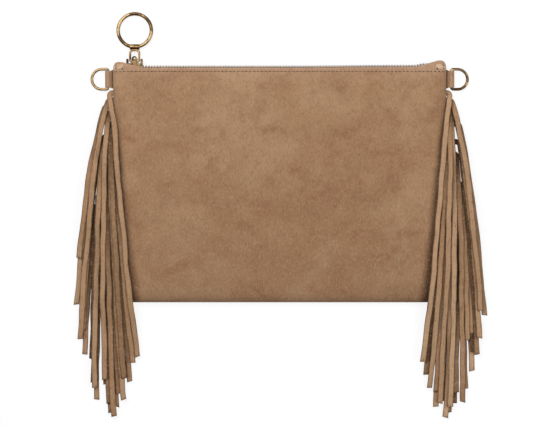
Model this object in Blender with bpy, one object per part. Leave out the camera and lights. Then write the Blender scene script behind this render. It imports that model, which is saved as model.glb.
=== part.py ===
"""Fringed suede pouch with a zip, lying on its back as it comes to rest.

Metres, +Z up, +X to the right and +Y towards the zip. The origin is the middle of the back panel's
outer face. Heights are measured from the surface that the pouch lies on.
"""

import math

import bmesh
import bpy
import numpy as np

# Body. The roundness values are the powers of the rounded edges' outline.
BAG_WIDTH = 0.280
BAG_HEIGHT = 0.197
SUEDE = 0.0012
GAP = 0.0003
HEM = 0.010
BODY_RISE = 0.0088
MOUTH_EASE = 0.060
MOUTH_SLACK = 0.0006
SIDE_ROUNDNESS = 24
BOTTOM_ROUNDNESS = 24
LINING = 0.0004
LINING_EASE = 0.0007
LINING_INSET = 0.0080
LINING_EDGE = 0.0016
PANEL_EDGE = (0.0, 0.0004, 0.0016, 0.0045, 0.0100, 0.0200, 0.0600)
PANEL_BOTTOM = (0.0, 0.0004, 0.0016, 0.0045, 0.0100)
BODY_ROWS = 4
LOWEST_ROW = 0.030
BACK_COLUMNS = (0.0, 0.0094, 0.0188)
LINING_COLUMNS = (0.0, 0.0030, 0.0080, 0.0400)

# Zip
TAPE = 0.0006
TAPE_WIDTH = 0.0115
CHAIN_WIDTH = 0.0056
CHAIN_HEIGHT = 0.0022
CHAIN_PROUD = 0.0014
ROW_SPACE = 0.0012
TOOTH_PITCH = 0.0024
TOOTH_DEPTH = 0.0010
STOP_LENGTH = 0.0022
ZIP_END_LENGTH = 0.0094
ZIP_END_RISE = 0.0046
ZIP_END_SLOPE = 0.0030
ZIP_END_INSET = 0.0020
ZIP_END_CORNER = 0.0020
ZIP_END_LEAST_CORNER = 0.0002
ZIP_END_ROUNDNESS = 6
ZIP_END_LOW_EDGE = 0.05

# Slider
SLIDER_LENGTH = 0.0138
SLIDER_WIDTH = 0.0084
SLIDER_START = 0.0014
WING = 0.0020
LOWER_WING = 0.0014
FLANGE = 0.0010
WING_CORNER = 0.0018
NECK = 0.0006
NECK_LENGTH = 0.0020
CROWN_WIDTH = 0.0048
CROWN_DEPTH = 0.0044
CROWN_HEIGHT = 0.0062
CROWN_WINDOW = 0.0008
PIN_HEIGHT = 0.0015
LOBE_HEIGHT = 0.0040
CLEARANCE = 0.00015

# Pull
LINK_WIRE = 0.0019
LINK_WIDTH = 0.0095
LINK_LENGTH = 0.0131
LINK_CORNER = 0.0016
EYE_WIDTH = 0.0050
EYE_WALL = 0.0005
RING_SIZE = 0.0310
RING_WIRE = 0.0030
REST_GAP = 0.00005

# D-rings and their tabs
D_HEIGHT = 0.0193
D_LENGTH = 0.0149
D_WIRE = 0.0024
D_CORNER = 0.0016
D_CENTRE_DROP = 0.0093
BAR_OFFSET = 0.0045
TAB_SUEDE = 0.0011
TAB_INSIDE = 0.0065

# Fringe. The fan values give the outer and inner edge of the hanging strips from the drop below the
# tab, LAYER is the rise from one strip to the next that lies on it, and FALL is the steepest slope.
FRINGE_SUEDE = 0.0009
STRIP_WIDTH = 0.0044
STRIP_PITCH = 0.0049
LAYER = 0.0011
HEADER_INSIDE = 0.0062
HEADER_OUTSIDE = 0.0006
FAN_OUTER = 0.0743
FAN_INNER_START = 0.0012
FAN_INNER_SLOPE = 0.055
FAN_INNER_CURVE = 0.13
TURN_OUT = 0.0029
TURN_FALL = 0.0024
TURN_RISE = 0.0016
LANE_EASE = 0.030
FRONT_FALL = 0.045
FALL = 0.25
SEAM_EASE = 0.0030
SECTION_SPACING = 0.024

# Where each strip ends, from the top of the comb down: how far out from the side seam and how far
# below the zip edge of the pouch, in millimetres.
LEFT_TIPS = [
    (-20.2, 243), (28.2, 228), (29.2, 160), (7.3, 262), (31.3, 199), (-9.3, 261), (-8.3, 279),
    (15.9, 269), (-16.4, 248), (26.3, 221), (-14.0, 264), (-0.6, 293), (16.8, 264), (14.0, 279),
    (-4.5, 274), (-3.1, 285), (4.0, 282), (18.2, 245), (5.9, 266), (24.1, 241), (2.1, 290),
]
RIGHT_TIPS = [
    (-19.5, 247), (29.0, 204), (-5.5, 282), (3.7, 285), (28.3, 227), (32.8, 208), (-13.6, 269),
    (-16.5, 219), (26.4, 241), (-17.2, 258), (13.8, 281), (-8.8, 272), (-0.3, 294), (8.5, 273),
    (6.6, 282), (18.0, 229), (11.1, 220), (22.4, 223), (22.8, 239), (22.1, 255), (16.0, 270),
    (-13.6, 255), (-8.8, 285), (-4.0, 280), (2.2, 290),
]

# Places that follow from the sizes
HALF_WIDTH = BAG_WIDTH / 2
TOP = BAG_HEIGHT / 2
BOTTOM = -BAG_HEIGHT / 2
FOLD_RADIUS = SUEDE + GAP / 2
BACK_INSIDE = SUEDE
TAPE_HEIGHT = BACK_INSIDE + GAP + SUEDE + GAP
ZIP_HEIGHT = TAPE_HEIGHT + CHAIN_WIDTH / 2
MOUTH_RISE = TAPE_HEIGHT + CHAIN_WIDTH + GAP + SUEDE + GAP + MOUTH_SLACK
CHAIN_TOP = TOP + CHAIN_PROUD
CHAIN_BOTTOM = CHAIN_TOP - CHAIN_HEIGHT
CHAIN_HALF = HALF_WIDTH - ZIP_END_LENGTH - GAP
SEAM_HEIGHT = BACK_INSIDE + GAP
HEADER_TOP = SEAM_HEIGHT + FRINGE_SUEDE
TAB_TOP = SEAM_HEIGHT + 2 * TAB_SUEDE
D_CENTRE = TOP - D_CENTRE_DROP
D_HALF = D_HEIGHT / 2
TAB_HALF = D_HALF - D_WIRE - GAP
FRINGE_TOP = D_CENTRE - D_HALF - GAP - GAP
STRIPS = max(len(LEFT_TIPS), len(RIGHT_TIPS))
FRINGE_BOTTOM = FRINGE_TOP - STRIPS * STRIP_PITCH
HEADER_MIDDLE = SEAM_HEIGHT + FRINGE_SUEDE / 2
TAPE_TOP = CHAIN_BOTTOM - GAP
LINING_TOP = TAPE_TOP - TAPE_WIDTH - GAP
MM = 0.001


def make_material(name, colour, roughness, metallic=0.0):
    """A plain finish for one sub-part."""
    material = bpy.data.materials.new(name)
    material.use_nodes = True
    shader = material.node_tree.nodes["Principled BSDF"]
    shader.inputs["Base Color"].default_value = (*colour, 1.0)
    shader.inputs["Roughness"].default_value = roughness
    shader.inputs["Metallic"].default_value = metallic
    return material


def make_solid(name, vertices, faces, material, sharp_degrees=45):
    """A closed body with outward faces, shaded smooth except over sharp edges."""
    mesh = bpy.data.meshes.new(name)
    mesh.from_pydata([tuple(point) for point in vertices], [], faces)
    shape = bmesh.new()
    shape.from_mesh(mesh)
    bmesh.ops.recalc_face_normals(shape, faces=shape.faces)
    shape.to_mesh(mesh)
    shape.free()
    mesh.shade_smooth()
    mesh.set_sharp_from_angle(angle=math.radians(sharp_degrees))
    mesh.materials.append(material)
    body = bpy.data.objects.new(name, mesh)
    bpy.context.scene.collection.objects.link(body)
    return body


def combine(body, tool, operation):
    """Joins or cuts one body with another, which is then only a hidden tool."""
    tool.hide_render = True
    tool.display_type = "WIRE"
    step = body.modifiers.new(tool.name, "BOOLEAN")
    step.operation = operation
    step.solver = "EXACT"
    step.object = tool


def grid_faces(rows, columns, start=0, around=False, closed=False):
    """Quads over vertices stored row by row; around joins the columns' ends and closed the rows'."""
    faces = []
    for row in range(rows if closed else rows - 1):
        below = start + row * columns
        above = start + (row + 1) % rows * columns
        for column in range(columns if around else columns - 1):
            beside = (column + 1) % columns
            faces.append((below + column, below + beside, above + beside, above + column))
    return faces


def sheet(name, outer, inner, material):
    """A sheet between two grids of points of the same size, with its border closed."""
    rows, columns = outer.shape[:2]
    count = rows * columns
    border = list(range(columns))
    border += [row * columns + columns - 1 for row in range(1, rows)]
    border += [(rows - 1) * columns + column for column in range(columns - 2, -1, -1)]
    border += [row * columns for row in range(rows - 2, 0, -1)]
    faces = grid_faces(rows, columns)
    faces += [face[::-1] for face in grid_faces(rows, columns, count)]
    for here, there in zip(border, border[1:] + border[:1]):
        faces.append((here, there, there + count, here + count))
    points = np.concatenate([outer.reshape(-1, 3), inner.reshape(-1, 3)])
    return make_solid(name, points, faces, material)


def box(name, low, high, material):
    """A rectangular block between two corners."""
    corners = [(x, y, z) for x in (low[0], high[0]) for y in (low[1], high[1]) for z in (low[2], high[2])]
    faces = [(0, 1, 3, 2), (4, 6, 7, 5), (0, 4, 5, 1), (2, 3, 7, 6), (0, 2, 6, 4), (1, 5, 7, 3)]
    return make_solid(name, corners, faces, material)


def prism(name, outline, axis, low, high, material):
    """An outline extruded from low to high along one axis (0, 1 or 2), in the other two axes' plane."""
    others = [index for index in range(3) if index != axis]
    points = np.zeros((2, len(outline), 3))
    points[:, :, others] = outline
    points[0, :, axis] = low
    points[1, :, axis] = high
    count = len(outline)
    faces = grid_faces(2, count, around=True)
    faces += [tuple(range(count)), tuple(range(count, 2 * count))]
    return make_solid(name, points.reshape(-1, 3), faces, material)


def arc(centre, radius, start_degrees, end_degrees, steps):
    """Points of a circular arc, both ends included."""
    angles = np.radians(np.linspace(start_degrees, end_degrees, steps + 1))
    return [(centre[0] + radius * math.cos(a), centre[1] + radius * math.sin(a)) for a in angles]


def cylinder(name, centre, radius, axis, low, high, material, sides=16):
    """A round bar along one axis."""
    return prism(name, arc(centre, radius, 0, 360, sides)[:-1], axis, low, high, material)


def wire_loop(name, path, radius, material, sides=8):
    """A round wire along a closed path in the XY plane."""
    path = np.array([(x, y, 0.0) for x, y in path])
    along = np.roll(path, -1, axis=0) - np.roll(path, 1, axis=0)
    along /= np.linalg.norm(along, axis=1)[:, None]
    aside = np.stack([along[:, 1], -along[:, 0], np.zeros(len(path))], axis=1)
    turns = np.arange(sides) * 2 * math.pi / sides
    points = (path[:, None] + radius * np.cos(turns)[None, :, None] * aside[:, None]
              + radius * np.sin(turns)[None, :, None] * np.array([0.0, 0.0, 1.0]))
    faces = grid_faces(len(path), sides, around=True, closed=True)
    return make_solid(name, points.reshape(-1, 3), faces, material)


def ease(value):
    """0 below 0, 1 above 1, and a smooth rise between."""
    value = np.clip(value, 0.0, 1.0)
    return value * value * (3 - 2 * value)


def seam_rise(y):
    """Height of the front panel's underside at a side seam, where the fringe and the tab are let in."""
    header = ease((y - FRINGE_BOTTOM + SEAM_EASE + GAP) / SEAM_EASE)
    tab = ease((y - FRINGE_TOP) / (D_CENTRE - TAB_HALF - GAP - FRINGE_TOP))
    return SEAM_HEIGHT + (HEADER_TOP + GAP - SEAM_HEIGHT) * header + (TAB_TOP - HEADER_TOP) * tab


def underside(x, y):
    """Height of the front panel's underside: full over the body, falling to the seams at the edges."""
    plateau = BODY_RISE + (MOUTH_RISE - BODY_RISE) * ease((y - TOP + HEM + MOUTH_EASE) / MOUTH_EASE)
    side = np.sqrt(np.clip(1 - np.abs(x / HALF_WIDTH) ** SIDE_ROUNDNESS, 0, 1))
    end = np.sqrt(np.clip(1 - np.clip((TOP - y) / BAG_HEIGHT, 0, 1) ** BOTTOM_ROUNDNESS, 0, 1))
    return seam_rise(y) + (plateau - seam_rise(y)) * side * end


def spaced_columns(half, from_edge):
    """Places across a width, at the given distances from both edges."""
    side = [half - distance for distance in from_edge]
    return np.array([-place for place in side] + [0.0] + side[::-1])


def spaced_rows(top):
    """Places down the body from top to the bottom edge, closer where the seam's height changes."""
    seam = [D_CENTRE - TAB_HALF, FRINGE_TOP, FRINGE_BOTTOM - GAP, FRINGE_BOTTOM - GAP - SEAM_EASE]
    edge = [BOTTOM + distance for distance in PANEL_BOTTOM]
    body = list(np.linspace(TOP - HEM, BOTTOM + LOWEST_ROW, BODY_ROWS))
    return np.array(sorted([y for y in seam + edge + body if y < top], reverse=True))


def hem_length(x):
    """How far the turned hem reaches down, shorter towards the zip's ends."""
    return GAP + (HEM - FOLD_RADIUS - GAP) * ease((HALF_WIDTH - ZIP_END_LENGTH - np.abs(x)) / ZIP_END_LENGTH)


def panel(name, face_height, fold_side, columns, rows, material):
    """A suede panel with its top edge turned in.

    face_height gives the height of the panel's inner face at (x, y), and fold_side is +1 where the
    inside of the pouch is above the panel and -1 where it is below.
    """
    outer = []
    inner = []
    edge = face_height(columns, np.full(len(columns), TOP - FOLD_RADIUS))
    turned = edge + fold_side * GAP
    hem_end = TOP - FOLD_RADIUS - hem_length(columns)
    outer.append(np.stack([columns, hem_end, turned + fold_side * SUEDE], axis=1))
    inner.append(np.stack([columns, hem_end, turned], axis=1))
    for angle in np.radians(np.linspace(90, -90, 4)):
        middle = edge + fold_side * GAP / 2
        for line, radius in ((outer, FOLD_RADIUS), (inner, GAP / 2)):
            y = np.full(len(columns), TOP - FOLD_RADIUS + radius * math.cos(angle))
            line.append(np.stack([columns, y, middle + fold_side * radius * math.sin(angle)], axis=1))
    for row in rows:
        y = np.full(len(columns), row)
        height = face_height(columns, y)
        outer.append(np.stack([columns, y, height - fold_side * SUEDE], axis=1))
        inner.append(np.stack([columns, y, height], axis=1))
    return sheet(name, np.array(outer), np.array(inner), material)


def lining_loop(y, inset, bottom):
    """One closed loop of the lining's section at y, drawn inset from its outer face."""
    half = HALF_WIDTH - LINING_INSET - inset
    columns = spaced_columns(half, LINING_COLUMNS)
    shape = np.sqrt(np.clip(1 - np.abs(columns / half) ** SIDE_ROUNDNESS, 0, 1))
    shape = shape * ease((y - bottom) / HEM)
    low = SEAM_HEIGHT + inset
    edge = SEAM_HEIGHT + LINING_EDGE - inset
    full = underside(columns, np.full(len(columns), y)) - LINING_EASE - inset
    lower = np.stack([columns, np.full(len(columns), y), np.full(len(columns), low)], axis=1)
    upper = np.stack([columns, np.full(len(columns), y), edge + (full - edge) * shape], axis=1)
    return np.concatenate([lower, upper[::-1]])


def make_lining(material):
    """A flat fabric pouch, open at the zip, lying on the back panel."""
    bottom = BOTTOM + LINING_INSET
    rows = [bottom, bottom + HEM / 2, bottom + HEM]
    rows += list(np.linspace(bottom + 3 * HEM, LINING_TOP, 5))
    outer = np.array([lining_loop(y, 0.0, bottom) for y in rows])
    rows[0] += LINING
    inner = np.array([lining_loop(y, LINING, bottom) for y in rows])
    count, around = outer.shape[:2]
    total = count * around
    half = around // 2
    faces = grid_faces(count, around, around=True)
    faces += [face[::-1] for face in grid_faces(count, around, total, around=True)]
    for column in range(half - 1):
        cap = (column, column + 1, around - 2 - column, around - 1 - column)
        faces += [cap, tuple(index + total for index in cap[::-1])]
    for column in range(around):
        here = total - around + column
        there = total - around + (column + 1) % around
        faces.append((here, there, there + total, here + total))
    points = np.concatenate([outer.reshape(-1, 3), inner.reshape(-1, 3)])
    return make_solid("lining", points, faces, material)


def make_zip(tape_finish, metal):
    """Two tapes inside the hems, two rows of teeth on their top edges, and the stops."""
    stop = STOP_LENGTH + GAP
    for side, name in ((-1, "back"), (1, "front")):
        outside = ZIP_HEIGHT + side * CHAIN_WIDTH / 2
        inside = outside - side * TAPE
        low, high = sorted((inside, outside))
        box("zip_tape_" + name, (-CHAIN_HALF, TAPE_TOP - TAPE_WIDTH, low), (CHAIN_HALF, TAPE_TOP, high),
            tape_finish)
        low, high = sorted((ZIP_HEIGHT + side * ROW_SPACE / 2, outside))
        first = -CHAIN_HALF + stop
        teeth = int((CHAIN_HALF - stop - first) / TOOTH_PITCH)
        outline = [(first, CHAIN_BOTTOM), (first, CHAIN_TOP - TOOTH_DEPTH)]
        for index in range(teeth):
            start = first + index * TOOTH_PITCH
            outline += [(start + TOOTH_PITCH / 2, CHAIN_TOP), (start + TOOTH_PITCH, CHAIN_TOP - TOOTH_DEPTH)]
        outline.append((first + teeth * TOOTH_PITCH, CHAIN_BOTTOM))
        prism("zip_teeth_" + name, outline, 2, low, high, metal)
        box("zip_top_stop_" + name, (-CHAIN_HALF, CHAIN_BOTTOM, low),
            (-CHAIN_HALF + STOP_LENGTH, CHAIN_TOP - GAP, high), metal)
    box("zip_bottom_stop", (CHAIN_HALF - STOP_LENGTH, CHAIN_BOTTOM, ZIP_HEIGHT - CHAIN_WIDTH / 2),
        (CHAIN_HALF, CHAIN_TOP, ZIP_HEIGHT + CHAIN_WIDTH / 2), metal)


def make_zip_end(name, side, material):
    """A folded piece of suede that straddles one end of the zip, between the two hems."""
    columns = side * np.linspace(HALF_WIDTH - ZIP_END_LENGTH + GAP, HALF_WIDTH - ZIP_END_INSET, 4)
    back = BACK_INSIDE + GAP + SUEDE + GAP
    foot = D_CENTRE + TAB_HALF + GAP
    outer = []
    inner = []
    for x in columns:
        along = (abs(x) - HALF_WIDTH + ZIP_END_LENGTH) / ZIP_END_LENGTH
        crest = TOP + ZIP_END_RISE * math.sqrt(max(1 - along ** ZIP_END_ROUNDNESS, ZIP_END_LOW_EDGE))
        front = float(underside(x, TOP - FOLD_RADIUS)) - SUEDE - 2 * GAP
        for line, inset in ((outer, 0.0), (inner, SUEDE)):
            corner = max(min(ZIP_END_CORNER, (front - back) / 2 - GAP) - inset, ZIP_END_LEAST_CORNER)
            low = back + inset
            high = front - inset
            top = crest - inset
            shoulder = top - ZIP_END_SLOPE
            path = [(foot, low)]
            path += arc((top - corner, low + corner), corner, -90, 0, 3)[1:]
            path += arc((shoulder - corner, high - corner), corner, 0, 90, 3)
            path.append((foot, high))
            line.append([(x, y, z) for y, z in path])
    return sheet(name, np.array(outer), np.array(inner), material)


def make_slider(metal):
    """Upper and lower wings round the chain, their neck, and the crown that carries the pull."""
    half = SLIDER_LENGTH / 2
    width = SLIDER_WIDTH / 2
    under = GAP + CHAIN_TOP
    top = under + WING
    floor = CHAIN_BOTTOM - GAP
    place = (-CHAIN_HALF + SLIDER_START + half, top + PIN_HEIGHT, ZIP_HEIGHT)

    def local(low, high):
        return [(low[0], low[1] - place[1], low[2]), (high[0], high[1] - place[1], high[2])]

    corner = WING_CORNER
    outline = arc((half - corner, width - corner), corner, 0, 90, 3)
    outline += arc((corner - half, width - corner), corner, 90, 180, 3)
    outline += arc((corner - half, corner - width), corner, 180, 270, 3)
    outline += arc((half - corner, corner - width), corner, 270, 360, 3)
    slider = prism("slider", outline, 1, under - place[1], top - place[1], metal)
    parts = []
    for side, name in ((-1, "back"), (1, "front")):
        inner = CHAIN_WIDTH / 2 + GAP
        low, high = sorted((side * inner, side * (inner + FLANGE)))
        parts.append(box("flange_" + name, *local((-half + corner, TOP + GAP, low),
                                                  (half - corner, under + WING / 2, high)), metal))
    tape_room = CHAIN_WIDTH / 2 - TAPE - GAP
    parts.append(box("lower_wing", *local((corner - half, floor - LOWER_WING, -tape_room),
                                          (half - corner, floor, tape_room)), metal))
    parts.append(box("neck", *local((corner - half, floor - LOWER_WING / 2, -NECK / 2),
                                    (corner - half + NECK_LENGTH, under + WING / 2, NECK / 2)), metal))
    base = -PIN_HEIGHT - WING / 2
    crown = CROWN_WIDTH / 2
    crown_centre = CROWN_HEIGHT - PIN_HEIGHT - crown
    lug = [(-crown, base), (crown, base)] + arc((0, crown_centre), crown, 0, 180, 8)
    parts.append(prism("lug", lug, 2, -CROWN_DEPTH / 2, CROWN_DEPTH / 2, metal))
    lobe_inner = LINK_WIDTH / 2 + 2 * CLEARANCE
    lobe = (half - lobe_inner) / 2
    for side, name in ((-1, "left"), (1, "right")):
        middle = side * (lobe_inner + lobe)
        shape = [(middle - lobe, base), (middle + lobe, base)]
        shape += arc((middle, LOBE_HEIGHT - PIN_HEIGHT - lobe), lobe, 0, 180, 6)
        parts.append(prism("lobe_" + name, shape, 2, -CROWN_DEPTH / 2, CROWN_DEPTH / 2, metal))
    bore = cylinder("crown_bore", (0, 0), LINK_WIRE / 2 + CLEARANCE, 0, -half, half, metal)
    window_height = LINK_WIRE / 2 + 2 * CLEARANCE + 2 * CROWN_WINDOW
    window = cylinder("crown_window", (0, window_height), CROWN_WINDOW, 2, -width, width, metal, 10)
    for part in parts:
        part.location = place
        combine(slider, part, "UNION")
    for part in (bore, window):
        part.location = place
        combine(slider, part, "DIFFERENCE")
    slider.location = place
    return slider


def make_pull(slider, metal):
    """The link hinges in the crown and the ring in the link's eye; both droop onto the surface."""
    half = (LINK_WIDTH - LINK_WIRE) / 2
    ring_radius = (RING_SIZE - RING_WIRE) / 2
    sag = (EYE_WIDTH / 2) ** 2 / (2 * ring_radius)
    bore = RING_WIRE / 2 + sag + CLEARANCE
    eye = bore + EYE_WALL
    cross = LINK_LENGTH - bore - LINK_WIRE / 2
    path = arc((half - LINK_CORNER, LINK_CORNER), LINK_CORNER, -90, 0, 3)
    path += arc((half - LINK_CORNER, cross - LINK_CORNER), LINK_CORNER, 0, 90, 3)
    path += arc((LINK_CORNER - half, cross - LINK_CORNER), LINK_CORNER, 90, 180, 3)
    path += arc((LINK_CORNER - half, LINK_CORNER), LINK_CORNER, 180, 270, 3)
    link = wire_loop("pull_link", path, LINK_WIRE / 2, metal)
    band = cylinder("eye_band", (LINK_LENGTH, 0), eye, 0, -EYE_WIDTH / 2, EYE_WIDTH / 2, metal)
    hole = cylinder("eye_hole", (LINK_LENGTH, 0), bore, 0, -EYE_WIDTH, EYE_WIDTH, metal)
    combine(link, band, "UNION")
    combine(link, hole, "DIFFERENCE")
    link.parent = slider
    for tool in (band, hole):
        tool.parent = link
    link_droop = math.asin((ZIP_HEIGHT - eye - REST_GAP) / LINK_LENGTH)
    link.rotation_euler.x = -link_droop

    ring = wire_loop("pull_ring", arc((0, ring_radius), ring_radius, -90, 270, 28)[:-1],
                     RING_WIRE / 2, metal)
    ring.parent = link
    ring.location.y = LINK_LENGTH
    ring_droop = math.asin((eye - RING_WIRE / 2) / (2 * ring_radius))
    ring.rotation_euler.x = link_droop - ring_droop


def make_d_ring(name, side, metal):
    """A D of round wire whose straight bar is the hinge in the tab; it droops onto the surface."""
    half = D_HALF - D_WIRE / 2
    leg = D_LENGTH - D_HALF - D_WIRE / 2
    path = arc((D_CORNER - D_WIRE / 2, half - D_CORNER), D_CORNER, 180, 90, 3)
    path += [(x, y) for x, y in arc((leg, 0), half, 90, -90, 12)]
    path += arc((D_CORNER - D_WIRE / 2, D_CORNER - half), D_CORNER, 270, 180, 3)
    path = [(side * (x + D_WIRE / 2), y) for x, y in path]
    ring = wire_loop(name, path, D_WIRE / 2, metal)
    bar_height = (SEAM_HEIGHT + TAB_TOP) / 2
    ring.location = (side * (HALF_WIDTH + BAR_OFFSET), D_CENTRE, bar_height)
    droop = math.asin((bar_height - D_WIRE / 2 - REST_GAP) / (D_LENGTH - D_WIRE / 2))
    ring.rotation_euler.y = side * droop


def make_tab(name, side, material):
    """A strip of suede folded round the D-ring's bar, with both ends in the side seam."""
    middle = (SEAM_HEIGHT + TAB_TOP) / 2
    bore = D_WIRE / 2 + CLEARANCE
    radius = bore + TAB_SUEDE
    meet = math.degrees(math.asin(TAB_SUEDE / radius))
    outline = [(-TAB_INSIDE, SEAM_HEIGHT)]
    outline += arc((BAR_OFFSET, middle), radius, meet - 180, 180 - meet, 12)
    outline.append((-TAB_INSIDE, TAB_TOP))
    outline = [(side * (HALF_WIDTH + x), z) for x, z in outline]
    tab = prism(name, outline, 1, D_CENTRE - TAB_HALF, D_CENTRE + TAB_HALF, material)
    hole = cylinder(name + "_hole", (side * (HALF_WIDTH + BAR_OFFSET), middle), bore, 1,
                    D_CENTRE - D_HALF, D_CENTRE + D_HALF, material, 12)
    combine(tab, hole, "DIFFERENCE")


def fan_limits(drop):
    """Centrelines of the innermost and outermost strip, out from the seam, at a drop below the tab."""
    inner = -(FAN_INNER_START + FAN_INNER_SLOPE * drop + FAN_INNER_CURVE * drop * drop)
    outer = FAN_OUTER * np.sqrt(drop)
    return inner + STRIP_WIDTH / 2, outer - STRIP_WIDTH / 2


def lane(share, drop):
    """Where a strip hangs across the fan: share 0 is the innermost strip and 1 the outermost."""
    inner, outer = fan_limits(drop)
    return inner + (outer - inner) * share


def plan_strips(tips):
    """Start, share across the fan and tip of each strip, from the top of the comb down."""
    strips = []
    for index, (out, below) in enumerate(tips):
        tip = TOP - below * MM
        inner, outer = fan_limits(FRINGE_TOP - tip)
        start = FRINGE_TOP - (index + 0.5) * STRIP_PITCH
        strips.append({"start": start, "share": (out * MM - inner) / (outer - inner), "tip": tip})
    return strips


def section_places(strips):
    """Places down the fringe where the strips have sections: every second turn, then evenly."""
    turns = [strip["start"] - TURN_FALL for strip in strips[::2]]
    return turns + list(np.arange(turns[-1] - SECTION_SPACING, -BAG_HEIGHT, -SECTION_SPACING))


def hang(strip, y):
    """How far out from the seam a strip's centreline lies at y, below its turn."""
    turn = strip["start"] - TURN_FALL
    aim = lane(strip["share"], FRINGE_TOP - turn)
    away = 1 - ease((turn - y) / LANE_EASE)
    return lane(strip["share"], FRINGE_TOP - y) + (max(aim, TURN_OUT) - aim) * away


def rest_height(out, y):
    """Height that a strip's middle needs to clear the panel under it, or the surface beside the body."""
    edge = out - STRIP_WIDTH / 2
    panel_top = underside(HALF_WIDTH + edge, np.maximum(y, BOTTOM + HEM)) + SUEDE
    panel_top = panel_top * (1 - ease((BOTTOM + HEM - y) / FRONT_FALL))
    return np.where(edge < GAP, panel_top, 0) + GAP + FRINGE_SUEDE / 2


def crossings(strip, other):
    """At which of its sections a strip lies on another one, and the other's height there."""
    y = strip["y"]
    spots = np.clip(y, other["y"][-1], other["y"][0])
    apart = hang(strip, spots) - hang(other, spots)
    near = np.minimum(np.abs(apart[1:]), np.abs(apart[:-1])) < STRIP_WIDTH + GAP
    near |= apart[1:] * apart[:-1] < 0
    near &= (y[1:] < other["y"][0]) & (y[:-1] > other["y"][-1])
    on_top = np.append(near, False) | np.append(False, near)
    return on_top, np.interp(-y, -other["y"], other["height"])


def lay_strips(strips):
    """Finds the heights of the strips from the last one of the comb up, as each lies on the next ones."""
    comb_end = strips[-1]["start"] - STRIP_WIDTH
    places = section_places(strips)
    for index in reversed(range(len(strips))):
        strip = strips[index]
        turn = strip["start"] - TURN_FALL
        y = np.array([turn] + [place for place in places if strip["tip"] + GAP < place < turn - GAP]
                     + [strip["tip"]])
        strip["y"] = y
        out = hang(strip, y)
        nearest = np.minimum(out, np.minimum(np.append(out[1:], out[-1]), np.append(out[0], out[:-1])))
        height = np.where(y > comb_end, HEADER_MIDDLE + 2 * LAYER, 0)
        height = np.maximum(height, rest_height(nearest, y))
        for other in strips[index + 1:]:
            on_top, below = crossings(strip, other)
            height = np.where(on_top, np.maximum(height, below + LAYER), height)
        height[0] = HEADER_MIDDLE + TURN_RISE
        for place in range(1, len(y)):
            height[place] = max(height[place], height[place - 1] - FALL * (y[place - 1] - y[place]))
        for place in range(len(y) - 2, 0, -1):
            height[place] = max(height[place], height[place + 1] - FALL * (y[place] - y[place + 1]))
        strip["height"] = height


def ribbon(strip):
    """Sections of one strip, from its root in the header round its turn and down to the tip."""
    turn = hang(strip, strip["y"][0])
    half_turn = math.sqrt(0.5)
    path = [(HEADER_OUTSIDE, strip["start"], HEADER_MIDDLE),
            (HEADER_OUTSIDE + (turn - HEADER_OUTSIDE) * half_turn, strip["start"] - TURN_FALL * (1 - half_turn),
             HEADER_MIDDLE + TURN_RISE / 6)]
    path += [(hang(strip, y), y, height) for y, height in zip(strip["y"], strip["height"])]
    path = np.array(path)
    along = np.gradient(path, axis=0)
    along[0] = (1, 0, 0)
    along /= np.linalg.norm(along, axis=1)[:, None]
    aside = np.cross([0.0, 0.0, 1.0], along)
    aside /= np.linalg.norm(aside, axis=1)[:, None]
    normal = np.cross(along, aside)
    corners = [(-1, -1), (1, -1), (1, 1), (-1, 1)]
    return np.stack([path + across * STRIP_WIDTH / 2 * aside + up * FRINGE_SUEDE / 2 * normal
                     for across, up in corners], axis=1)


def make_fringe(name, side, tips, material):
    """One comb of suede: a header in the side seam, and strips cut in it that turn down and hang."""
    strips = plan_strips(tips)
    lay_strips(strips)
    end = FRINGE_TOP - len(strips) * STRIP_PITCH
    points = [(out, y, z) for out in (-HEADER_INSIDE, HEADER_OUTSIDE) for y in (FRINGE_TOP, end)
              for z in (SEAM_HEIGHT, HEADER_TOP)]
    lower = [4]
    upper = [5]
    faces = [(0, 1, 3, 2), (0, 1, 5, 4), (2, 3, 7, 6)]
    for strip in strips:
        sections = ribbon(strip)
        first = len(points)
        points += list(sections.reshape(-1, 3))
        faces += grid_faces(len(sections), 4, first, around=True)
        faces.append(tuple(len(points) - corner for corner in (4, 3, 2, 1)))
        lower += [first + 1, first]
        upper += [first + 2, first + 3]
    lower.append(6)
    upper.append(7)
    faces += [tuple(lower) + (2, 0), tuple(upper) + (3, 1)]
    for index in range(0, len(lower), 2):
        faces.append((lower[index], lower[index + 1], upper[index + 1], upper[index]))
    points = np.array(points)
    points[:, 0] = side * (HALF_WIDTH + points[:, 0])
    make_solid(name, points, faces, material)


def build():
    """Makes every sub-part of the pouch."""
    for leftover in list(bpy.data.objects):
        bpy.data.objects.remove(leftover, do_unlink=True)
    suede = make_material("suede", (0.36, 0.23, 0.14), 0.95)
    suede_edge = make_material("suede_edge", (0.42, 0.28, 0.19), 0.95)
    fabric = make_material("fabric", (0.30, 0.22, 0.16), 0.9)
    woven = make_material("woven_tape", (0.22, 0.14, 0.09), 0.85)
    metal = make_material("aged_brass", (0.33, 0.22, 0.09), 0.35, 1.0)

    fold = TOP - FOLD_RADIUS
    panel("back_panel", lambda x, y: np.full(len(x), BACK_INSIDE), 1,
          spaced_columns(HALF_WIDTH, BACK_COLUMNS), [fold, BOTTOM], suede)
    panel("front_panel", underside, -1, spaced_columns(HALF_WIDTH, PANEL_EDGE), spaced_rows(fold), suede)
    make_lining(fabric)
    make_zip(woven, metal)
    make_zip_end("zip_end_left", -1, suede_edge)
    make_zip_end("zip_end_right", 1, suede_edge)
    make_pull(make_slider(metal), metal)
    for side, name, tips in ((-1, "left", LEFT_TIPS), (1, "right", RIGHT_TIPS)):
        make_tab("d_ring_tab_" + name, side, suede_edge)
        make_d_ring("d_ring_" + name, side, metal)
        make_fringe("fringe_" + name, side, tips, suede)


build()
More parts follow.
